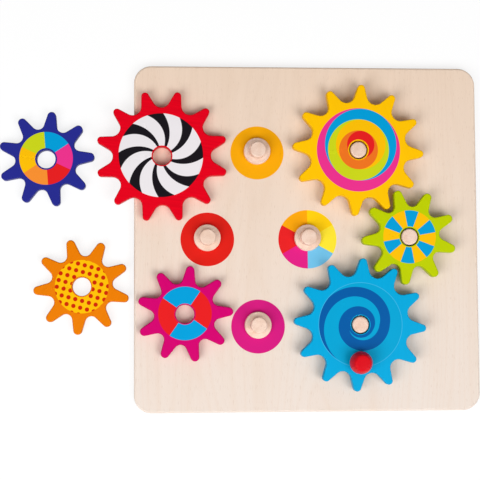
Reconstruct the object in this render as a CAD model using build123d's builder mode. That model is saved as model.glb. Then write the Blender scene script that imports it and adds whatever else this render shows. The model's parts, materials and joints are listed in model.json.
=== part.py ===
# A crank gear toy in wood: a square board with seven pegs, and seven gears that turn on them.
#
# Three gears are mounted and in mesh, one of them with a crank knob. Two lie loose on the board and two on
# the table beside it. Large and small gears alternate round a hexagon of pegs with a small one in the
# middle, so that every large gear meshes with the small ones beside it.
#
# Millimetres, +Z up, +X to the right. The origin is the centre of the board's underside.

import os
from math import acos, atan2, cos, degrees, radians, sin

from build123d import *

# Board
board_side = 300
board_thickness = 10
board_corner_radius = 15
board_edge_break = 1.2

# Pegs, turned in one piece: a shoulder that the gear rests on, a pin that it turns on, and a tenon.
# One stands in the middle and six on a hexagon round it, all one pitch apart.
station_pitch = 87
shoulder_radius = 11.5
shoulder_height = 5
pin_radius = 7
pin_above_gear = 1
pin_end_chamfer = 1.5
tenon_radius = 5
tenon_length = 7

# What is glued in has a little room at its side and at its end
glue_gap = 0.1
end_gap = 0.5

# Gears, alike in both sizes
gear_thickness = 9
bore_clearance = 1
bore_edge_break = 0.5
tip_clearance = 3.6

# Large gears
large_teeth = 12
large_addendum = 7.3
large_tip_round = 3.2
large_valley_round = 7.4

# Small gears
small_teeth = 9
small_addendum = 4
small_tip_round = 3.7
small_valley_round = 5.4

# Crank knob, and the dowel that holds it on the crank gear
knob_arm = 32.2
knob_direction = -91.6
knob_height = 18
knob_foot_radius = 7
knob_foot_height = 1.5
knob_rim_radius = 9.75
knob_rim_height = 5
knob_top_radius = 6.5
knob_top_chamfer = 1
dowel_radius = 3
dowel_into_knob = 11
dowel_end_chamfer = 0.5

# How far a gear is turned at rest, in degrees, from having a tooth on +X
crank_gear_turn = -3.4
red_gear_turn = -14.4
magenta_gear_turn = 3
navy_gear_turn = 3.1
orange_gear_turn = -15.2

# Where the loose gears lie: two on the board, measured from a peg, and two on the table beside it
red_gear_from_left_peg = (-38.9, 70.1)
magenta_gear_from_lower_left_peg = (-63, 9.8)
navy_gear_gap_to_red_gear = 1.2
navy_gear_y = 68.4
orange_gear_gap_to_board = 3.3
orange_gear_y = -41.6

# Sizes that follow from the ones above
both_teeth = large_teeth + small_teeth
large_tip_radius = station_pitch * large_teeth / both_teeth + large_addendum
small_tip_radius = station_pitch * small_teeth / both_teeth + small_addendum
large_valley_radius = station_pitch - small_tip_radius - tip_clearance
small_valley_radius = station_pitch - large_tip_radius - tip_clearance
bore_radius = pin_radius + bore_clearance
pin_top = shoulder_height + gear_thickness + pin_above_gear


def on_ring(radius, angle):
    """The point on a circle round the origin, at an angle in degrees from +X."""
    return Vector(radius * cos(radians(angle)), radius * sin(radians(angle)))


def heading(start, end):
    """The direction from one point to another, in degrees from +X."""
    return degrees(atan2(end.Y - start.Y, end.X - start.X))


def upright_plane(point):
    """A plane for the profile of a turned piece: its X runs outwards from the point and its Y upwards."""
    return Plane(origin=point, x_dir=(1, 0, 0), z_dir=(0, -1, 0))


def write(piece, name):
    """Labels a finished piece and writes it to a file of its own."""
    piece.part.label = name
    export_step(piece.part, f"parts/{name}.step")


# ---- Where the pegs stand, and the heights that pieces rest at

hexagon = ["right", "upper_right", "upper_left", "left", "lower_left", "lower_right"]
stations = {"centre": Vector(0, 0)}
for step, station in enumerate(hexagon):
    stations[station] = on_ring(station_pitch, 60 * step)

on_board = Vector(0, 0, board_thickness)
on_shoulder = on_board + Vector(0, 0, shoulder_height)
through_gear = Vector(0, 0, gear_thickness)


# ---- Board

def make_board():
    """The plywood sheet, with a blind socket for each peg."""
    with BuildPart() as board:
        with BuildSketch():
            RectangleRounded(board_side, board_side, board_corner_radius)
        extrude(amount=board_thickness)
        chamfer(board.faces().filter_by(Axis.Z).edges(), board_edge_break)
        with Locations(*(place + on_board for place in stations.values())):
            Hole(tenon_radius + glue_gap, tenon_length + end_gap)
    return board


# ---- Pegs

def make_peg(place):
    """A turned peg on the board: half its profile, drawn from the board's top, is revolved."""
    seat = place + on_board
    with BuildPart() as peg:
        with BuildSketch(upright_plane(seat)) as profile:
            with BuildLine():
                Polyline(
                    (0, -tenon_length),
                    (tenon_radius, -tenon_length),
                    (tenon_radius, 0),
                    (shoulder_radius, 0),
                    (shoulder_radius, shoulder_height),
                    (pin_radius, shoulder_height),
                    (pin_radius, pin_top),
                    (0, pin_top),
                    close=True,
                )
            make_face()
            pin_rim = profile.vertices().group_by(Axis.Y)[-1].sort_by(Axis.X)[-1]
            chamfer(pin_rim, pin_end_chamfer)
        revolve(axis=Axis(seat, (0, 0, 1)))
    return peg


# ---- Gears

def draw_gear_outline(teeth, tip_radius, valley_radius, tip_round, valley_round):
    """Draws a gear's outline round the origin, with one tooth on +X.

    The tips and the valleys are arcs, and each straight flank touches the two arcs beside it.
    """
    half_pitch = 180 / teeth
    tip_ring = tip_radius - tip_round
    valley_ring = valley_radius + valley_round
    tip_centre = on_ring(tip_ring, 0)
    valley_centre = on_ring(valley_ring, half_pitch)
    apart = (valley_centre - tip_centre).length
    # The direction that the upper flank of the tooth on +X faces
    facing = heading(tip_centre, valley_centre) - degrees(acos((tip_round + valley_round) / apart))
    for tooth in range(teeth):
        turn = 2 * half_pitch * tooth
        next_turn = turn + 2 * half_pitch
        tip = CenterArc(on_ring(tip_ring, turn), tip_round, turn - facing, 2 * facing)
        valley = CenterArc(
            on_ring(valley_ring, turn + half_pitch),
            valley_round,
            turn + facing + 180,
            2 * (half_pitch - facing),
        )
        Line(tip @ 1, valley @ 0)
        Line(valley @ 1, on_ring(tip_ring, next_turn) + on_ring(tip_round, next_turn - facing))


def draw_large_outline():
    draw_gear_outline(
        large_teeth, large_tip_radius, large_valley_radius, large_tip_round, large_valley_round
    )


def draw_small_outline():
    draw_gear_outline(
        small_teeth, small_tip_radius, small_valley_radius, small_tip_round, small_valley_round
    )


def make_gear(draw_outline, place, turn, dowel_place=None):
    """A gear cut from one board, lying at a place and turned about its bore, whose mouths are chamfered."""
    with BuildPart() as gear:
        with BuildSketch(Plane(origin=place, x_dir=on_ring(1, turn), z_dir=(0, 0, 1))):
            with BuildLine():
                draw_outline()
            make_face()
        extrude(amount=gear_thickness)
        with Locations(place + through_gear):
            Hole(bore_radius, gear_thickness)
        bore_mouths = gear.edges().filter_by(GeomType.CIRCLE).group_by(SortBy.LENGTH)[-1]
        chamfer(bore_mouths, bore_edge_break)
        if dowel_place:
            with Locations(dowel_place + through_gear):
                Hole(dowel_radius + glue_gap, gear_thickness)
    return gear


def turn_in_mesh(driver_turn, driver_teeth, teeth, direction):
    """How far a gear is turned in mesh with its driver, which sees it in that direction.

    Where the driver has a tooth on the line between the two centres, the gear has a valley.
    """
    share = (driver_turn - direction) * driver_teeth / 360 % 1
    return direction + 180 + (0.5 - share) * 360 / teeth


# ---- Crank knob and its dowel

def make_knob(foot):
    """A turned knob: a short foot, a flare up to the rim, and a long curved taper to a flat top."""
    with BuildPart() as knob:
        with BuildSketch(upright_plane(foot)) as profile:
            with BuildLine():
                flare = Polyline(
                    (0, 0),
                    (knob_foot_radius, 0),
                    (knob_foot_radius, knob_foot_height),
                    (knob_rim_radius, knob_rim_height),
                )
                taper = TangentArc(flare @ 1, (knob_top_radius, knob_height), tangent=(0, 1))
                Polyline(taper @ 1, (0, knob_height), flare @ 0)
            make_face()
            top_rim = profile.vertices().group_by(Axis.Y)[-1].sort_by(Axis.X)[-1]
            chamfer(top_rim, knob_top_chamfer)
        revolve(axis=Axis(foot, (0, 0, 1)))
        with Locations(Location(foot, (180, 0, 0))):
            Hole(dowel_radius + glue_gap, dowel_into_knob + end_gap)
    return knob


def make_dowel(lower_end):
    """The dowel that is glued through the crank gear and up into the knob."""
    with BuildPart() as dowel:
        with BuildSketch(Plane(origin=lower_end)):
            Circle(dowel_radius)
        extrude(amount=gear_thickness + dowel_into_knob)
        chamfer(dowel.faces().filter_by(Axis.Z).edges(), dowel_end_chamfer)
    return dowel


# ---- The whole toy

os.makedirs("parts", exist_ok=True)

write(make_board(), "board")
for station, place in stations.items():
    write(make_peg(place), f"peg_{station}")

# The three mounted gears: the crank gear turns the green one, and the green one turns the yellow one
crank_place = stations["lower_right"] + on_shoulder
green_place = stations["right"] + on_shoulder
yellow_place = stations["upper_right"] + on_shoulder
green_gear_turn = turn_in_mesh(
    crank_gear_turn, large_teeth, small_teeth, heading(crank_place, green_place)
)
yellow_gear_turn = turn_in_mesh(
    green_gear_turn, small_teeth, large_teeth, heading(green_place, yellow_place)
)
knob_place = crank_place + on_ring(knob_arm, knob_direction)
write(make_gear(draw_large_outline, crank_place, crank_gear_turn, knob_place), "crank_gear")
write(make_dowel(knob_place), "crank_dowel")
write(make_knob(knob_place + through_gear), "crank_knob")
write(make_gear(draw_small_outline, green_place, green_gear_turn), "green_gear")
write(make_gear(draw_large_outline, yellow_place, yellow_gear_turn), "yellow_gear")

# The two loose gears on the board
red_place = stations["left"] + Vector(*red_gear_from_left_peg) + on_board
magenta_place = stations["lower_left"] + Vector(*magenta_gear_from_lower_left_peg) + on_board
write(make_gear(draw_large_outline, red_place, red_gear_turn), "red_gear")
write(make_gear(draw_small_outline, magenta_place, magenta_gear_turn), "magenta_gear")

# The two loose gears on the table
navy_x = red_place.X - large_tip_radius - navy_gear_gap_to_red_gear - small_tip_radius
orange_x = -board_side / 2 - orange_gear_gap_to_board - small_tip_radius
write(make_gear(draw_small_outline, Vector(navy_x, navy_gear_y), navy_gear_turn), "navy_gear")
write(make_gear(draw_small_outline, Vector(orange_x, orange_gear_y), orange_gear_turn), "orange_gear")
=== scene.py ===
# %% [markdown]
# # A crank gear toy in wood
#
# The toy is a square board with seven pegs and seven painted gears. Three gears are mounted and in
# mesh, one of them with a red crank knob, and four lie loose. Its pieces come from a CAD model that
# is already the right size and already turns. So this lesson is about what paint, print and wood
# grain add to it, and about the small rounded edges that catch the light.
#
# The CAD model is loaded first. Lengths in Blender are metres, and the underside of the board is at
# z = 0. The sizes below are written in millimetres, as a woodworker would, and multiplied by `mm`.

# %% Load the CAD model
import json
from collections import namedtuple
from math import asin, cos, degrees, radians, sin

import bmesh
import bpy
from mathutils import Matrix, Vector


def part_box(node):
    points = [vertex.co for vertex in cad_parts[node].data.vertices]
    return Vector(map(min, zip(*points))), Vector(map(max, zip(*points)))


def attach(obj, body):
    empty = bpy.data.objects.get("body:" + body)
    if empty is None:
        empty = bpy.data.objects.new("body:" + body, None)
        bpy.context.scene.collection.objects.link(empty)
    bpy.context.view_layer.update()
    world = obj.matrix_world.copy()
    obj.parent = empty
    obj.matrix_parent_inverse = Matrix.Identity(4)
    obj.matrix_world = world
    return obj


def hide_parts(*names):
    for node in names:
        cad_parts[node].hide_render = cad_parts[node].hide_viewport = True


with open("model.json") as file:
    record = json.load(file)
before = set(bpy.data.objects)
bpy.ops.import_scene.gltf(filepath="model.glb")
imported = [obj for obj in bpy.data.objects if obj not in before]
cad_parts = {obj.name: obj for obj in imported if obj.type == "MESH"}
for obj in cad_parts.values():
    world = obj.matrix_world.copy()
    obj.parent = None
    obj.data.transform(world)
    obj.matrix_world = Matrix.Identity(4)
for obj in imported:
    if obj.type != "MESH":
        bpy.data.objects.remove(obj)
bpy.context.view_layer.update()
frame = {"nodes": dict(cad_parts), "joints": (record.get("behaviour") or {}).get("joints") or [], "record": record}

mm = 0.001
print("pieces:", ", ".join(sorted(frame["nodes"])))

# %% [markdown]
# ## Camera
#
# The photograph looks almost straight down, from a little left of the middle, so the raised gears on
# the right show a sliver of their left sides. A long lens about a metre above the board gives the
# same view. A lens is described by its focal length in pixels of the picture, because that is what
# can be measured in a photograph.

# %% Camera above the board
photo_width = 480
focal_length_in_pixels = 1225.92
sensor_width = 36
camera_place = Vector((-129.89, -70.31, 1066.15)) * mm
camera_tilt = (0.06506, -0.06708, -0.00531)

camera_data = bpy.data.cameras.new("camera")
camera_data.sensor_width = sensor_width
camera_data.lens = focal_length_in_pixels / photo_width * sensor_width
camera = bpy.data.objects.new("camera", camera_data)
camera.location = camera_place
camera.rotation_euler = camera_tilt
bpy.context.collection.objects.link(camera)
bpy.context.scene.camera = camera
print(f"camera: lens {camera_data.lens:.1f} mm, {camera_place.z:.2f} m above the floor")

# %% [markdown]
# ## Nodes written as sums
#
# A printed pattern is a formula: a disc is every point nearer to its middle than a radius. Shader
# nodes can work such formulas out, but wiring Math nodes by hand hides the formula. The first class
# below wraps a node's output, so that `limit - distance` written in Python adds the Subtract node
# and its links. Its `below` and `above` give a mask with a short ramp at the edge, as ink has.

# %% A socket that takes part in sums
# How wide the soft edge of a print is
ink_blur = 0.15


class Socket:
    """The output of a node. Arithmetic on it adds Math nodes and gives their output."""

    def __init__(self, nodes, output):
        self.nodes = nodes
        self.output = output

    def maths(self, operation, *values):
        return self.nodes.node("Math", {"operation": operation}, dict(enumerate(values)))

    def __add__(self, other):
        return self.maths("ADD", self, other)

    def __sub__(self, other):
        return self.maths("SUBTRACT", self, other)

    def __rsub__(self, other):
        return self.maths("SUBTRACT", other, self)

    def __mul__(self, other):
        return self.maths("MULTIPLY", self, other)

    def __truediv__(self, other):
        return self.maths("DIVIDE", self, other)

    def __rtruediv__(self, other):
        return self.maths("DIVIDE", other, self)

    __radd__ = __add__
    __rmul__ = __mul__

    def fraction(self):
        """What is left after the whole number."""
        return self.maths("FRACT", self)

    def wave(self):
        """Falls and rises between 1 and 0 with every whole step."""
        return self.maths("ABSOLUTE", self.fraction() * 2 - 1)

    def clamped(self):
        """Kept between 0 and 1."""
        return self.maths("MINIMUM", self.maths("MAXIMUM", self, 0), 1)

    def between(self, low, high):
        """Spreads what runs from 0 to 1 over the range from low to high."""
        return self * (high - low) + low

    def ramp(self, start, end):
        """0 up to the start, 1 from the end on, and a straight ramp in between."""
        return ((self - start) / (end - start)).clamped()

    def below(self, limit, blur=ink_blur):
        """A mask: 1 under the limit and 0 over it, with an edge as wide as the blur."""
        return ((limit - self) / blur + 0.5).clamped()

    def above(self, limit, blur=ink_blur):
        """The opposite mask."""
        return 1 - self.below(limit, blur)


# %% [markdown]
# The second class holds a node tree, of a material or of the world. Its method `node` adds a node of
# any kind. Settings such as a Math node's operation come first, because they can change which
# sockets the node has. Then its sockets are given numbers, colours or links. A socket goes by its
# name, or by its number where two sockets share a name.

# %% A node tree
class Nodes:
    """The node tree of a material or of the world."""

    def __init__(self, tree):
        self.tree = tree

    def connect(self, value, socket):
        """Links a node's output to a socket, or sets the socket to a plain value."""
        if isinstance(value, Socket):
            self.tree.links.new(value.output, socket)
        else:
            socket.default_value = value

    def node(self, kind, settings, values, output=0):
        """Adds a node of any kind and gives one of its outputs."""
        made = self.tree.nodes.new("ShaderNode" + kind)
        for name, setting in settings.items():
            if name == "stops":
                self.set_stops(made.color_ramp, setting)
            else:
                setattr(made, name, setting)
        for name, value in values.items():
            self.connect(value, made.inputs[name])
        return Socket(self, made.outputs[output])

    def set_stops(self, ramp, stops):
        """Fills a colour ramp with flat steps of colour."""
        ramp.interpolation = "CONSTANT"
        while len(ramp.elements) < len(stops):
            ramp.elements.new(1)
        for element, (position, colour) in zip(ramp.elements, stops):
            element.position = position
            element.color = colour

    def seen(self):
        """1 for rays from the eye, off a shiny surface or through glass, and 0 for all others."""
        eye, gloss, glass = (
            self.node("LightPath", {}, {}, output=f"Is {kind} Ray")
            for kind in ("Camera", "Glossy", "Transmission")
        )
        return (eye + gloss + glass).clamped()


# %% [markdown]
# The third class adds what every pattern on this toy is measured with. It starts from Object
# coordinates, which move with a piece, so nothing slides when a gear turns. A Mapping node of the
# Texture kind then tells where a point is as seen from some centre, which is how a print or a grain
# is shifted and turned on its piece.

# %% Measures for patterns
class Pattern(Nodes):
    """A node tree with the measures that prints and grain are made from."""

    def place(self, centre=(0, 0, 0), turn=0, step=mm, point=None):
        """Where a point is, counted in steps from a centre, along axes turned about Z.

        The point is the one that is shaded, in metres, unless another is given.
        """
        if point is None:
            point = self.node("TexCoord", {}, {}, output="Object")
        values = {
            "Vector": point,
            "Location": centre,
            "Rotation": (0, 0, radians(turn)),
            "Scale": (step, step, step),
        }
        return self.node("Mapping", {"vector_type": "TEXTURE"}, values)

    def part(self, place, axis):
        """One of the three numbers of a place."""
        return self.node("SeparateXYZ", {}, {"Vector": place}, output=axis)

    def distance(self, place, centre=(0, 0)):
        """How far a place is from a centre, seen from above."""
        level = self.node("VectorMath", {"operation": "MULTIPLY"}, {0: place, 1: (1, 1, 0)})
        ends = {0: level, 1: (*centre, 0)}
        return self.node("VectorMath", {"operation": "DISTANCE"}, ends, output="Value")

    def direction(self, place):
        """The direction of a place from the middle, in degrees from +X, seen from above."""
        x = self.part(place, "X")
        y = self.part(place, "Y")
        return y.maths("ARCTAN2", y, x) * degrees(1)

    def noise(self, place, lumps, detail=2.0):
        """Noise between 0 and 1, with its own number of lumps per millimetre along each axis."""
        stretched = self.node("Mapping", {}, {"Vector": place, "Scale": lumps})
        values = {"Vector": stretched, "Scale": 1.0, "Detail": detail}
        return self.node("TexNoise", {}, values)


# %% [markdown]
# The last class makes a new material. Blender gives every material a Principled shader, which has a
# socket for each thing that light can notice: colour, roughness, shine and small bumps. Colours are
# written as on a paint chart, and `srgb` turns them into the linear values that a shader works with.

# %% A material, and colours
class Finish(Pattern):
    """The node tree of a new material, with its Principled shader."""

    def __init__(self, name):
        self.material = bpy.data.materials.new(name)
        self.material.use_nodes = True
        super().__init__(self.material.node_tree)
        self.shader = self.tree.nodes["Principled BSDF"]

    def blend(self, mask, under, over):
        """The colour under, with the colour over on it where the mask is 1."""
        return self.node("Mix", {"data_type": "RGBA"}, {0: mask, 6: under, 7: over}, output=2)

    def tinted(self, colour, tone):
        """A colour made lighter or darker by a number near 1."""
        vector = colour if isinstance(colour, Socket) else colour[:3]
        return self.node("VectorMath", {"operation": "SCALE"}, {"Vector": vector, "Scale": tone})

    def bump(self, height, depth):
        """A normal that follows a height between 0 and 1, which is depth millimetres deep."""
        return self.node("Bump", {}, {"Height": height, "Distance": depth * mm, "Strength": 1.0})

    def shade(self, **values):
        """Sets or links the shader's sockets: base_color is the socket Base Color."""
        for name, value in values.items():
            title = name.replace("_", " ").title().replace("Ior", "IOR")
            self.connect(value, self.shader.inputs[title])


def srgb(red, green, blue):
    """A colour given as 0 to 255, in linear values. The formula is the sRGB standard's."""
    shares = [value / 255 for value in (red, green, blue)]
    linear = [
        share / 12.92 if share <= 0.04045 else ((share + 0.055) / 1.055) ** 2.4
        for share in shares
    ]
    return (*linear, 1.0)


white = srgb(255, 255, 255)
print("a middle grey of 128 is", round(srgb(128, 128, 128)[0], 3), "in linear light")

# %% [markdown]
# ## Light
#
# Product photographs are often lit by two large soft boxes, one on each side of the camera. Here the
# shadows fall away from the player, and each gear has a darker one where the two overlap. One large
# lamp could be brighter, but would leave a single shadow. With the dim world below, the two lamps
# light a level surface so that a colour comes out about as it is written.

# %% Two soft boxes
lamp_distance = 1.5
lamp_size = 0.9
lamp_aim = Vector((0.06, 0, 0))


def add_lamp(name, direction, height, power):
    """A square lamp at a direction from +X and a height above the floor, both in degrees."""
    data = bpy.data.lights.new(name, "AREA")
    data.shape = "SQUARE"
    data.size = lamp_size
    data.energy = power
    away = Vector((cos(radians(direction)), sin(radians(direction)), 0)) * cos(radians(height))
    away.z = sin(radians(height))
    lamp = bpy.data.objects.new(name, data)
    lamp.location = lamp_aim + away * lamp_distance
    lamp.rotation_euler = away.to_track_quat("Z", "Y").to_euler()
    bpy.context.collection.objects.link(lamp)
    print(f"{name}: {power} W, {lamp.location.z:.2f} m high")


add_lamp("soft_box_left", direction=218, height=48, power=12.2)
add_lamp("soft_box_right", direction=308, height=58, power=13.2)

# %% [markdown]
# The world fills the shadows. A bright world would make the background white but wash the toy out,
# so this one is dim for light that bounces, and white for what the eye sees directly or in a shiny
# surface.

# %% World
world_strength = 0.22


def make_world():
    world = bpy.data.worlds.new("studio")
    world.use_nodes = True
    nodes = Nodes(world.node_tree)
    dim = nodes.node("Background", {}, {"Color": white, "Strength": world_strength})
    backdrop = nodes.node("Background", {}, {"Color": white, "Strength": 1.0})
    chosen = nodes.node("MixShader", {}, {0: nodes.seen(), 1: dim, 2: backdrop})
    nodes.connect(chosen, world.node_tree.nodes["World Output"].inputs["Surface"])
    bpy.context.scene.world = world


make_world()
bpy.context.scene.view_settings.view_transform = "Standard"
print("world: strength", world_strength, "for light that bounces")

# %% [markdown]
# ## Floor
#
# In the photograph the paper under the toy is pure white. A floor that is only lit would come out
# grey, and one that only glows would lose the shadows that hold the toy down. This one does both for
# the eye: most of its white glows, and the rest is lit and so takes the shadow. Well away from the
# toy it only glows, so that no grey horizon shows in low views. For light that bounces it is plain
# pale paper.

# %% White paper that takes a soft shadow
paper_white = srgb(236, 236, 236)
lit_share = 0.25
glow = 0.8
shadow_reach = 450
only_glow_from = 1150


def floor_finish():
    finish = Finish("floor_paper")
    finish.shade(base_color=paper_white, roughness=0.9)
    paper = Socket(finish, finish.shader.outputs[0])
    taking_shadow = finish.node("MixShader", {}, {0: lit_share, 2: paper})
    glowing = finish.node("Emission", {}, {"Strength": glow})
    near = finish.node("AddShader", {}, {0: taking_shadow, 1: glowing})
    far = finish.node("Emission", {}, {"Strength": 1.0})
    away = finish.distance(finish.place()).ramp(shadow_reach, only_glow_from)
    shown = finish.node("MixShader", {}, {0: away, 1: near, 2: far})
    chosen = finish.node("MixShader", {}, {0: finish.seen(), 1: paper, 2: shown})
    finish.connect(chosen, finish.tree.nodes["Material Output"].inputs["Surface"])
    return finish


# %% The floor
floor_half_side = 6


def make_floor():
    sheet = bmesh.new()
    bmesh.ops.create_grid(sheet, x_segments=1, y_segments=1, size=floor_half_side)
    mesh = bpy.data.meshes.new("floor")
    sheet.to_mesh(mesh)
    sheet.free()
    mesh.materials.append(floor_finish().material)
    floor = bpy.data.objects.new("floor", mesh)
    bpy.context.collection.objects.link(floor)


make_floor()
print("floor:", 2 * floor_half_side, "m square")

# %% [markdown]
# ## Turning a mesh into a piece
#
# Every piece ends the same way. Faces that meet gently are shaded smooth and sharp corners stay
# sharp. Large flat faces keep their own normals, so that no shading creeps over them from the
# rounded edges. The piece then takes the place of a CAD node, and rides on the body that carries it
# when the toy moves.

# %% Finish a piece
smooth_below = 40


def finish_piece(name, shape, finish, node, body):
    """Makes an object of a bmesh, which stands for a CAD node and moves with its body."""
    mesh = bpy.data.meshes.new(name)
    shape.to_mesh(mesh)
    shape.free()
    mesh.materials.clear()
    mesh.materials.append(finish.material)
    mesh.shade_smooth()
    mesh.set_sharp_from_angle(angle=radians(smooth_below))
    piece = bpy.data.objects.new(name, mesh)
    bpy.context.collection.objects.link(piece)
    level_faces = piece.modifiers.new("level_faces", "WEIGHTED_NORMAL")
    level_faces.keep_sharp = True
    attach(piece, body)
    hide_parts(node)
    print(f"{name}: {len(mesh.polygons)} faces")


# %% [markdown]
# The board and the gears already have their true outlines in the CAD model, so they are copied and
# not drawn again. A CAD mesh is made of loose triangles. Merging their corners joins them, and
# dissolving the edges between level triangles makes each flat face whole again, which a bevel needs.
# Rounding then only has to be told which edges to take.

# %% Copy a CAD piece and round its edges
merge_within = 0.001 * mm
level_below = 0.2


def copy_of(node):
    """A bmesh of a CAD piece, with its triangles joined and its flat faces whole."""
    shape = bmesh.new()
    shape.from_mesh(frame["nodes"][node].data)
    bmesh.ops.remove_doubles(shape, verts=shape.verts, dist=merge_within)
    bmesh.ops.dissolve_limit(
        shape,
        angle_limit=radians(level_below),
        verts=shape.verts,
        edges=shape.edges,
    )
    triangles = len(frame["nodes"][node].data.polygons)
    print(f"{node}: {triangles} triangles became {len(shape.faces)} faces")
    return shape


def fold(edge):
    """How far the surface turns at an edge, in degrees: 0 where it stays level."""
    return degrees(edge.calc_face_angle(0))


def out_from(edge, centre):
    """How far the middle of an edge is from an upright axis, in millimetres."""
    middle = (edge.verts[0].co + edge.verts[1].co) / 2
    return (middle - centre).xy.length / mm


def round_edges(shape, edges, radius, segments=4):
    bmesh.ops.bevel(
        shape,
        geom=edges,
        affect="EDGES",
        offset=radius * mm,
        segments=segments,
        profile=0.5,
        material=-1,
        clamp_overlap=True,
    )


# %% [markdown]
# ## Board
#
# The board is a sheet of birch plywood: a pale face veneer with its grain running up the board, and
# thin plies that show as light and dark lines round the edge. A photograph of wood could be laid on
# it, but would repeat and would need a map. Noise needs neither, and goes through the whole sheet.
#
# Wood is noise pulled long in the direction of the grain, at several sizes: broad bands, fine fibres
# and short dark flecks. The year rings show as faint lines that wander up the board. They are the
# contour lines of one more broad noise, which `wave` folds up and down many times. The colour also
# runs from whiter at the near edge to warmer at the far edge: a painted sheen of the two soft boxes,
# which stand on the near side.

# %% Birch veneer
board_low, board_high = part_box("board")
board_length = (board_high.y - board_low.y) / mm
# Painted sheen: the near edge, on the lamps' side, is whiter than the far edge
birch_near_painted_sheen = srgb(230, 217, 207)
birch_far = srgb(240, 216, 195)
birch_band = srgb(221, 193, 168)
birch_fleck = srgb(188, 152, 122)

# Lumps of noise in a millimetre: across the sheet, along the grain and through the sheet
birch_band_lumps = (0.055, 0.0035, 0.055)
year_ring_lumps = (0.016, 0.0016, 0.016)
birch_fleck_lumps = (1.5, 0.16, 1.5)
year_ring_count = 26

# How strongly each of them shows
birch_band_share = 0.2
year_ring_share = 0.12
birch_fleck_share = 0.22


def birch_veneer(finish, place, fibres):
    """The colour of the face veneer, a little lighter or darker from fibre to fibre."""
    # Painted sheen: fades from the whiter near edge, by the lamps, to the warmer far edge
    sheen_fades_up_the_board = finish.part(place, "Y").ramp(-board_length / 2, board_length / 2)
    bands = finish.noise(place, birch_band_lumps, detail=3.0).above(0.5, blur=0.35)
    contours = (finish.noise(place, year_ring_lumps, detail=1.5) * year_ring_count).wave()
    year_rings = contours.above(0.75, blur=0.5)
    flecks = finish.noise(place, birch_fleck_lumps, detail=1.0).above(0.68, blur=0.08)
    colour = finish.blend(sheen_fades_up_the_board, birch_near_painted_sheen, birch_far)
    colour = finish.blend(bands * birch_band_share, colour, birch_band)
    colour = finish.blend(year_rings * year_ring_share, colour, birch_band)
    colour = finish.blend(flecks * birch_fleck_share, colour, birch_fleck)
    return finish.tinted(colour, fibres.between(0.97, 1.03))


print(f"board: the grain runs along {board_length:.0f} mm")

# %% [markdown]
# A coloured ring is printed on the veneer round each peg, to show which gear goes where. Each is a
# full disc, whose middle the peg hides. The one in the middle of the board is cut like a cake, with
# a sector towards each of the other six, in about the colour of that ring. The rings under the three
# mounted gears can't be seen in the photograph, so they take the colours of the gears that stand on
# them. `ring_shift` is how far the whole print has slipped on the board.

# %% Inks
ink = {
    "amber": srgb(250, 190, 4),
    "black": srgb(20, 16, 22),
    "blue": srgb(0, 156, 214),
    "dark blue": srgb(0, 88, 160),
    "deep amber": srgb(248, 167, 2),
    "lemon": srgb(249, 226, 50),
    "light blue": srgb(112, 190, 228),
    "lime": srgb(201, 212, 26),
    "magenta": srgb(221, 28, 130),
    "orange": srgb(236, 115, 32),
    "pink": srgb(234, 50, 140),
    "red": srgb(227, 30, 32),
    "soft orange": srgb(245, 142, 48),
    "sun yellow": srgb(252, 206, 4),
    "white": srgb(235, 230, 233),
}
print("inks:", ", ".join(ink))


def sectors(finish, place, start, names):
    """A disc cut like a cake, into equal sectors counterclockwise from a direction."""
    share = ((finish.direction(place) - start) / 360).fraction()
    stops = [(step / len(names), ink[name]) for step, name in enumerate(names)]
    return finish.node("ValToRGB", {"stops": stops}, {"Fac": share})


# %% Rings round the pegs
ring_radius = 23.2
middle_ring_radius = 25.4
ring_shift = Vector((0.14, -1.14, 0)) * mm
ring_inks = {
    "upper_left": srgb(243, 168, 0),
    "left": srgb(218, 28, 18),
    "lower_left": srgb(207, 20, 123),
    "right": srgb(184, 202, 4),
    "upper_right": srgb(252, 200, 4),
    "lower_right": srgb(0, 160, 222),
}
cake_start = 30
cake_inks = ["sun yellow", "deep amber", "red", "magenta", "light blue", "lemon"]

stations = {}
for name in ("centre", *ring_inks):
    low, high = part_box(f"peg_{name}")
    stations[name] = (low + high) / 2
    print(f"peg {name}: x {stations[name].x / mm:.1f} mm, y {stations[name].y / mm:.1f} mm")


def print_rings(finish, colour, on_top):
    """The colour of the board with the seven rings on its top face."""
    for name, paint in ring_inks.items():
        in_ring = finish.distance(finish.place(stations[name] + ring_shift)).below(ring_radius)
        colour = finish.blend(in_ring * on_top, colour, paint)
    spot = finish.place(stations["centre"] + ring_shift)
    in_ring = finish.distance(spot).below(middle_ring_radius)
    return finish.blend(in_ring * on_top, colour, sectors(finish, spot, cake_start, cake_inks))


# %% [markdown]
# The plies only need the height: light and dark layers take turns between the two face veneers. They
# could be seven thin slabs, but their joints are too fine to be felt, so colour is enough.

# %% The board's finish
ply_thickness = 1.43
ply_light = srgb(232, 205, 172)
ply_dark = srgb(190, 150, 114)
birch_fibre_lumps = (1.5, 0.022, 1.5)
print_depth = 0.1
board_thickness = (board_high.z - board_low.z) / mm


def board_finish():
    finish = Finish("board_plywood")
    place = finish.place()
    fibres = finish.noise(place, birch_fibre_lumps)
    veneer = birch_veneer(finish, place, fibres)
    height = finish.part(place, "Z")
    inner = height.above(ply_thickness) * height.below(board_thickness - ply_thickness)
    cross_ply = (height / ply_thickness / 2).fraction().above(0.5, blur=0.06)
    plywood = finish.blend(inner, veneer, finish.blend(cross_ply, ply_light, ply_dark))
    on_top = height.above(board_thickness - print_depth, blur=0.05)
    finish.shade(
        base_color=print_rings(finish, plywood, on_top),
        roughness=fibres.between(0.45, 0.6),
        specular_ior_level=0.08,
        normal=finish.bump(fibres, depth=0.02),
    )
    return finish


board_plywood = board_finish()
print("board plywood:", len(board_plywood.tree.nodes), "nodes")

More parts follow.
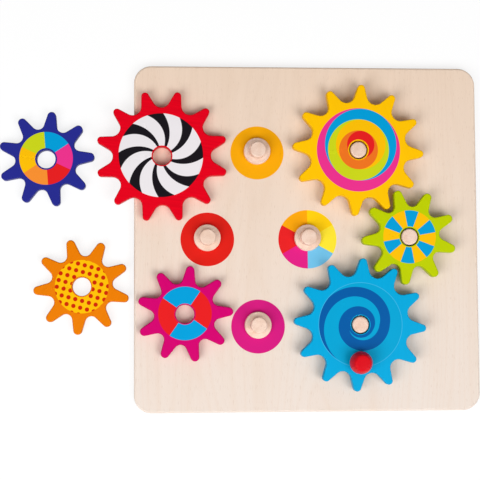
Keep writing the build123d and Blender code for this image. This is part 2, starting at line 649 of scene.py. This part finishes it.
# %% [markdown]
# The CAD board has a small flat chamfer along its edges. Sandpaper leaves them softer, so the two
# edges of each chamfer are rounded. They are the only edges where the surface turns much, but for
# those of the peg sockets, which the pegs hide.

# %% The board
board_edge_radius = 0.7
chamfer_fold = 30
socket_surround = 10


def at_a_socket(edge):
    return any(out_from(edge, station) <= socket_surround for station in stations.values())


board = copy_of("board")
rim = [edge for edge in board.edges if fold(edge) > chamfer_fold and not at_a_socket(edge)]
round_edges(board, rim, board_edge_radius, segments=3)
finish_piece("plywood_board", board, board_plywood, "board", "board")

# %% [markdown]
# ## Pegs
#
# A peg is turned on a lathe, and `spin` is Blender's lathe: half the profile goes round the axis. A
# few stacked cylinders would do too, but would leave hidden faces inside the wood. The profile is
# drawn with sharp corners. Each ring of edges that it leaves is then rounded by its own amount, as a
# turner breaks the edges with sandpaper, so the profile also says how far each corner is rounded.

# %% A lathe
lathe_steps = 48
same_within = 0.01 * mm


def lies_on(vert, corner):
    """Whether a vertex is on the circle that a corner of the profile went round."""
    return (Vector((vert.co.xy.length, vert.co.z)) - corner).length < same_within


def turned(profile, foot):
    """Spins a profile about an upright axis: each corner is its radius, height and rounding."""
    shape = bmesh.new()
    corners = [shape.verts.new((radius * mm, 0, height * mm)) for radius, height, _ in profile]
    lines = [shape.edges.new(pair) for pair in zip(corners, corners[1:])]
    bmesh.ops.spin(
        shape,
        geom=corners + lines,
        cent=(0, 0, 0),
        axis=(0, 0, 1),
        angle=radians(360),
        steps=lathe_steps,
        use_merge=True,
    )
    bmesh.ops.remove_doubles(shape, verts=shape.verts, dist=merge_within)
    bmesh.ops.recalc_face_normals(shape, faces=shape.faces)
    for radius, height, rounding in profile:
        if rounding:
            corner = Vector((radius, height)) * mm
            ring = [edge for edge in shape.edges if all(lies_on(v, corner) for v in edge.verts)]
            round_edges(shape, ring, rounding)
    bmesh.ops.translate(shape, verts=shape.verts, vec=foot)
    return shape


# %% [markdown]
# Beech is pinker than birch, and full of short dark flecks along the grain. The grain runs up the
# peg, so the flecks are lines on its side and dots on its end, from the same stretched noise.

# %% Turned beech
beech = srgb(238, 209, 191)
beech_band = srgb(222, 184, 160)
beech_fleck = srgb(176, 128, 98)
beech_band_lumps = (0.16, 0.16, 0.012)
beech_pore_lumps = (1.9, 1.9, 0.22)
beech_fleck_share = 0.4


def beech_finish():
    finish = Finish("turned_beech")
    place = finish.place()
    bands = finish.noise(place, beech_band_lumps).ramp(0.4, 0.8545)
    pores = finish.noise(place, beech_pore_lumps, detail=1.0)
    flecks = pores.above(0.66, blur=0.08)
    colour = finish.blend(bands, beech, beech_band)
    finish.shade(
        base_color=finish.blend(flecks * beech_fleck_share, colour, beech_fleck),
        roughness=pores.between(0.3, 0.5),
        specular_ior_level=0.3,
        normal=finish.bump(1 - flecks, depth=0.02),
    )
    return finish


turned_beech = beech_finish()
print("turned beech:", len(turned_beech.tree.nodes), "nodes")

# %% [markdown]
# The seven pegs are alike: a shoulder that a gear rests on, a pin that it turns on, and a tenon that
# is glued into the board, out of sight. Only their places differ, and those come from the CAD model.

# %% The seven pegs
shoulder_radius = 11.5
shoulder_height = 5
pin_radius = 7
tenon_radius = 5
tenon_length = 7

# How far the corners are rounded
tenon_rounding = 0.5
shoulder_foot_rounding = 0.4
shoulder_rounding = 0.9
pin_rounding = 1.4

for name, station in stations.items():
    node = f"peg_{name}"
    pin_top = (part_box(node)[1].z - board_high.z) / mm
    peg_profile = [
        (0, -tenon_length, 0),
        (tenon_radius, -tenon_length, tenon_rounding),
        (tenon_radius, 0, 0),
        (shoulder_radius, 0, shoulder_foot_rounding),
        (shoulder_radius, shoulder_height, shoulder_rounding),
        (pin_radius, shoulder_height, 0),
        (pin_radius, pin_top, pin_rounding),
        (0, pin_top, 0),
    ]
    peg = turned(peg_profile, Vector((station.x, station.y, board_high.z)))
    finish_piece(f"turned_{node}", peg, turned_beech, node, "board")

# %% [markdown]
# ## Gears
#
# The seven gears are sawn from one sheet, in two sizes. Their outline is what makes them mesh, and
# one drawn again here could drift from it. So each gear is a copy of its CAD piece, with only the
# level edges of its outline rounded, where paint catches a thin line of light. The mouths of the
# bore keep their small chamfer.

# %% A gear's shape
gear_edge_radius = 1.0
square_fold = 80


def is_level(edge):
    return abs(edge.verts[0].co.z - edge.verts[1].co.z) < same_within


def gear_shape(node, centre, disc_radius):
    """A copy of a gear, with every level, square edge beyond its printed disc rounded."""
    shape = copy_of(node)
    outline = [
        edge
        for edge in shape.edges
        if fold(edge) > square_fold and out_from(edge, centre) > disc_radius and is_level(edge)
    ]
    round_edges(shape, outline, gear_edge_radius)
    return shape


# %% [markdown]
# The paint is opaque and satin, with a trace of the grain in it, and of the plies on the sawn sides.
# Its colour is darker on the rounded edges and the sides: painted shade, where the edges turn away
# from the lamps, and in part paint soaked deeper into the end grain. A design is then printed on the
# top face only, in a disc that leaves a thin ring of paint round the bore.
#
# A `Gear` holds all that differs from one gear to the next. The ring round the bore, a print that
# has slipped off the middle, and how far the grain shows have usual values, and are only given where
# a gear differs. Each design below is a function that gives the colour at a place on the gear.

# %% Paint under a printed design
usual_bore_ring = 9.0
usual_grain = 0.1
Gear = namedtuple(
    "Gear",
    "paint disc_radius design grain_turn bore_ring shift grain_shows",
    defaults=(usual_bore_ring, (0, 0), usual_grain),
)
rim_depth = 0.08
# How much darker the rounded edges and sides are painted: painted shade, and in part paint soaked in
rim_painted_shade = 0.14
paint_grain_lumps = (0.6, 0.03, 0.6)
paint_cloud_lumps = (0.06, 0.02, 0.06)
grain_relief = 0.3


def gear_finish(name, gear, centre):
    """Painted wood with a printed disc. Heights count from the top face, so they are negative."""
    finish = Finish(name)
    place = finish.place(centre, gear.grain_turn)
    spot = finish.place(centre + Vector((*gear.shift, 0)) * mm)
    height = finish.part(place, "Z")
    grain = finish.noise(place, paint_grain_lumps, detail=3.0)
    clouds = finish.noise(place, paint_cloud_lumps)
    paint_tone = grain.between(1 - gear.grain_shows / 2, 1 + gear.grain_shows / 2)
    in_disc = finish.distance(spot).below(gear.disc_radius)
    off_bore = finish.distance(place).above(gear.bore_ring)
    on_top = height.above(-print_depth, blur=0.05)
    paint = finish.tinted(gear.paint, paint_tone)
    colour = finish.blend(on_top * in_disc * off_bore, paint, gear.design(finish, spot))
    # Painted shade on the rounded edges and sides, where they turn from the lamps; in part soaked paint
    rim = height.below(-rim_depth, blur=2 * rim_depth)
    on_side = height.below(-gear_edge_radius, blur=0.4)
    plies = (height / ply_thickness / 2).wave() * on_side
    finish.shade(
        base_color=finish.tinted(colour, clouds.between(0.97, 1.03) - rim * rim_painted_shade),
        roughness=grain.between(0.3, 0.42),
        specular_ior_level=0.05,
        normal=finish.bump(grain * grain_relief + plies, depth=0.04),
    )
    return finish


# %% [markdown]
# ### Crescents, on the yellow gear
#
# Three discs share the gear's middle, and inside each a smaller one is pushed the same way until it
# touches the rim of the larger one. Painted from the largest down, they leave five crescents and a
# small red disc. The list gives each large disc's radius and ink, and the ink of the disc inside it.

# %% Crescents
disc_on_large_gear = 36.2
crescent_direction = radians(66.4)
crescent_shift = 5.0
crescents = [
    (disc_on_large_gear, "pink", "blue"),
    (26.6, "lime", "amber"),
    (16.9, "orange", "red"),
]


def crescents_design(finish, place):
    push = Vector((cos(crescent_direction), sin(crescent_direction))) * crescent_shift
    colour = ink["pink"]
    for radius, outer, inner in crescents:
        in_outer = finish.distance(place).below(radius)
        in_inner = finish.distance(place, push).below(radius - crescent_shift)
        colour = finish.blend(in_outer, colour, ink[outer])
        colour = finish.blend(in_inner, colour, ink[inner])
    return colour


print("crescents:", 2 * len(crescents) - 1, "and a small disc")

# %% [markdown]
# ### Spiral, on the blue crank gear
#
# A dark band winds in from the rim of the disc for a turn and a half, and ends in a dark core. Each
# of its edges is a spiral, whose radius falls as it winds in: fast until it reaches +X, and slowly
# past it. An edge is given by its radius on +X, in millimetres, and its fast fall, in millimetres a
# degree. A point is in the band if it lies between the two edges on one of the turns, so the same
# test is made three times, a whole turn apart. A fine light line runs round the disc where it meets
# the paint.

# %% Spiral
spiral_outer_edge = (25.3, 0.0755)
spiral_inner_edge = (16.3, 0.0828)
spiral_slow = 0.0358
spiral_core = (13.83, 0.006)
spiral_disc_radius = 35.8
spiral_light = srgb(0, 160, 207)
spiral_line = srgb(96, 200, 240)
spiral_line_share = 0.5


def spiral_edge(edge, angle):
    """The radius of an edge at an angle in degrees, which runs on past a whole turn."""
    start, fast = edge
    before = angle.maths("MAXIMUM", angle, 0)
    past = angle.maths("MINIMUM", angle, 0)
    return before * fast + past * spiral_slow + start


def spiral_design(finish, place):
    radius = finish.distance(place)
    angle = finish.direction(place)
    core_radius, core_slope = spiral_core
    dark = radius.below((angle - 360) * core_slope + core_radius)
    for turn in (360, 0, -360):
        inside = radius.below(spiral_edge(spiral_outer_edge, angle + turn))
        dark = dark + inside * radius.above(spiral_edge(spiral_inner_edge, angle + turn))
    at_line = radius.above(spiral_disc_radius)
    colour = finish.blend(dark.clamped() * (1 - at_line), spiral_light, ink["dark blue"])
    return finish.blend(at_line * spiral_line_share, colour, spiral_line)


print("spiral: the band is", spiral_outer_edge[0] - spiral_inner_edge[0], "mm wide on +X")

# %% [markdown]
# ### Blades, on the red gear
#
# Eight black blades on white, an eighth of a turn apart. Their leading edge bends forward with the
# radius and they widen outwards, so the formula asks how far a point is past the leading edge,
# within one eighth of a turn. `out` is in millimetres from the root of the blades, and the edge and
# the width are in degrees.

# %% Blades
blade_pitch = 45
blade_root = 10
blade_start = 12.2
blade_bend = 1.03
blade_curl = 0.0035
blade_width = 14.0
blade_widening = 0.0118
blade_blur = 0.6


def blades_design(finish, place):
    out = finish.distance(place) - blade_root
    edge = out * blade_bend + out * out * blade_curl + blade_start
    past_edge = ((finish.direction(place) - edge) / blade_pitch).fraction() * blade_pitch
    width = out * out * blade_widening + blade_width
    black = past_edge.below(width, blade_blur) * past_edge.above(0, blade_blur)
    return finish.blend(black, ink["white"], ink["black"])


print("blades:", 360 // blade_pitch)

# %% [markdown]
# ### Sectors and dots, on the small gears
#
# Green has twelve sectors in two colours, navy six in six colours, magenta four in two, and orange a
# square grid of dots. Sectors are one colour ramp over the direction. The dots are one dot,
# repeated: the place is measured in steps of the grid, and only what is left after the whole steps
# counts.

# %% Sectors and dots
disc_on_small_gear = 22.9
dot_pitch = 6.0
dot_radius = 1.85
dot_turn = -15.5
first_dot = (3.52, -0.65, 0)
dot_ground = srgb(248, 188, 2)
dot_red = srgb(200, 36, 4)


def sunray_design(finish, place):
    return sectors(finish, place, start=69.2, names=["blue", "amber"] * 6)


def rainbow_design(finish, place):
    names = ["blue", "lime", "amber", "soft orange", "red", "pink"]
    return sectors(finish, place, start=34, names=names)


def quarters_design(finish, place):
    return sectors(finish, place, start=55, names=["blue", "red"] * 2)


def dots_design(finish, place):
    """Half a step is added, so that each dot is in the middle of its square of the grid."""
    steps = finish.place(first_dot, dot_turn, dot_pitch, point=place)
    shifted = finish.node("VectorMath", {"operation": "ADD"}, {0: steps, 1: (0.5, 0.5, 0.5)})
    within = finish.node("VectorMath", {"operation": "FRACTION"}, {0: shifted})
    from_dot = finish.distance(within, (0.5, 0.5)) * dot_pitch
    return finish.blend(from_dot.below(dot_radius, blur=0.3), dot_ground, dot_red)


print("dots:", 2 * dot_radius, "mm across,", dot_pitch, "mm apart")

# %% [markdown]
# Now the seven gears are made from a list: the paint, the printed disc, the design and the way the
# grain runs. The red paint is thin enough to let the grain through as fine streaks. A gear's middle
# comes from the CAD model: the joint of a mounted gear, or the bore of a loose one.

# %% The seven gears
gears = {
    "crank": Gear(
        srgb(0, 164, 215),
        disc_on_large_gear,
        spiral_design,
        grain_turn=0,
        bore_ring=8.7,
    ),
    "yellow": Gear(srgb(255, 195, 2), disc_on_large_gear, crescents_design, grain_turn=15),
    "green": Gear(srgb(186, 203, 0), disc_on_small_gear, sunray_design, grain_turn=40),
    "red": Gear(
        srgb(226, 0, 27),
        disc_on_large_gear,
        blades_design,
        grain_turn=82,
        shift=(-0.9, 0.65),
        grain_shows=0.4,
    ),
    "magenta": Gear(
        srgb(206, 0, 108),
        disc_on_small_gear,
        quarters_design,
        grain_turn=25,
        shift=(0, 0.6),
    ),
    "navy": Gear(
        srgb(38, 43, 140),
        disc_on_small_gear,
        rainbow_design,
        grain_turn=60,
        bore_ring=9.4,
        shift=(0, 0.6),
    ),
    "orange": Gear(srgb(230, 123, 0), disc_on_small_gear, dots_design, grain_turn=-30),
}
hinges = {joint["child"]: joint["pos_m"] for joint in frame["joints"] if joint["type"] == "hinge"}
bores = {mount["name"]: mount["pos_m"] for mount in frame["record"]["mounts"]}

for name, gear in gears.items():
    node = f"{name}_gear"
    axis = hinges[name] if name in hinges else bores[f"bore_{node}"]
    centre = Vector((axis[0], axis[1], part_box(node)[1].z))
    slot = "blue_paint" if name == "crank" else f"{name}_paint"
    shape = gear_shape(node, centre, gear.disc_radius)
    finish_piece(f"painted_{node}", shape, gear_finish(slot, gear, centre), node, name)

# %% [markdown]
# ## Crank knob
#
# The knob is turned as well, on the same lathe, from a narrow foot to a rim and then in a long curve
# up to a flat top that fits between two fingers. The curve is an arc that leaves the rim upright.
# The red lacquer is glossier than the gears' paint, so its shader is given less roughness.

# %% Knob lacquer
knob_red = srgb(212, 14, 28)
lacquer_grain_lumps = (0.5, 0.5, 0.05)


def knob_finish():
    finish = Finish("knob_lacquer")
    grain = finish.noise(finish.place(), lacquer_grain_lumps)
    finish.shade(
        base_color=finish.tinted(knob_red, grain.between(0.95, 1.05)),
        roughness=grain.between(0.2, 0.3),
        specular_ior_level=0.05,
        normal=finish.bump(grain, depth=0.01),
    )
    return finish


knob_lacquer = knob_finish()
print("knob lacquer:", len(knob_lacquer.tree.nodes), "nodes")

# %% The knob's curve
knob_rim_radius = 9.75
knob_rim_height = 5
knob_top_radius = 6.5
taper_steps = 7
knob_low, knob_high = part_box("crank_knob")
knob_height = (knob_high.z - knob_low.z) / mm


def knob_taper():
    """The corners along the arc between the rim and the top."""
    rise = knob_height - knob_rim_height
    inward = knob_rim_radius - knob_top_radius
    arc_radius = (rise * rise + inward * inward) / (2 * inward)
    corners = []
    for step in range(1, taper_steps):
        angle = asin(rise / arc_radius) * step / taper_steps
        radius = knob_rim_radius - arc_radius * (1 - cos(angle))
        corners.append((radius, knob_rim_height + arc_radius * sin(angle), 0))
    return corners


print(f"knob: {knob_height:.1f} mm high")

# %% [markdown]
# The profile starts in the blind hole for the dowel, which leaves a little room for glue round the
# dowel and at its end. So the knob is a true solid round its dowel, and not one that overlaps it.

# %% Turn the knob
knob_foot_radius = 7
knob_foot_height = 1.5
knob_foot_rounding = 0.3
knob_rim_rounding = 0.8
knob_top_rounding = 1.3
glue_gap = 0.1
end_gap = 0.5

dowel_low, dowel_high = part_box("crank_dowel")
hole_radius = (dowel_high.x - dowel_low.x) / 2 / mm + glue_gap
hole_depth = (dowel_high.z - knob_low.z) / mm + end_gap
knob_profile = [
    (0, hole_depth, 0),
    (hole_radius, hole_depth, 0),
    (hole_radius, 0, 0),
    (knob_foot_radius, 0, knob_foot_rounding),
    (knob_foot_radius, knob_foot_height, 0),
    (knob_rim_radius, knob_rim_height, knob_rim_rounding),
    *knob_taper(),
    (knob_top_radius, knob_height, knob_top_rounding),
    (0, knob_height, 0),
]
knob_foot = Vector(((knob_low.x + knob_high.x) / 2, (knob_low.y + knob_high.y) / 2, knob_low.z))
knob = turned(knob_profile, knob_foot)
finish_piece("turned_knob", knob, knob_lacquer, "crank_knob", "crank")

# %% [markdown]
# The dowel that holds the knob is hidden but for its lower end, and its shape is right as it is. So
# the CAD piece stays, and only gets the wood, through its object's own material slots.

# %% Dowel
dowel = frame["nodes"]["crank_dowel"]
for material_slot in dowel.material_slots:
    material_slot.link = "OBJECT"
    material_slot.material = turned_beech.material
print("crank dowel: the CAD piece, in beech")
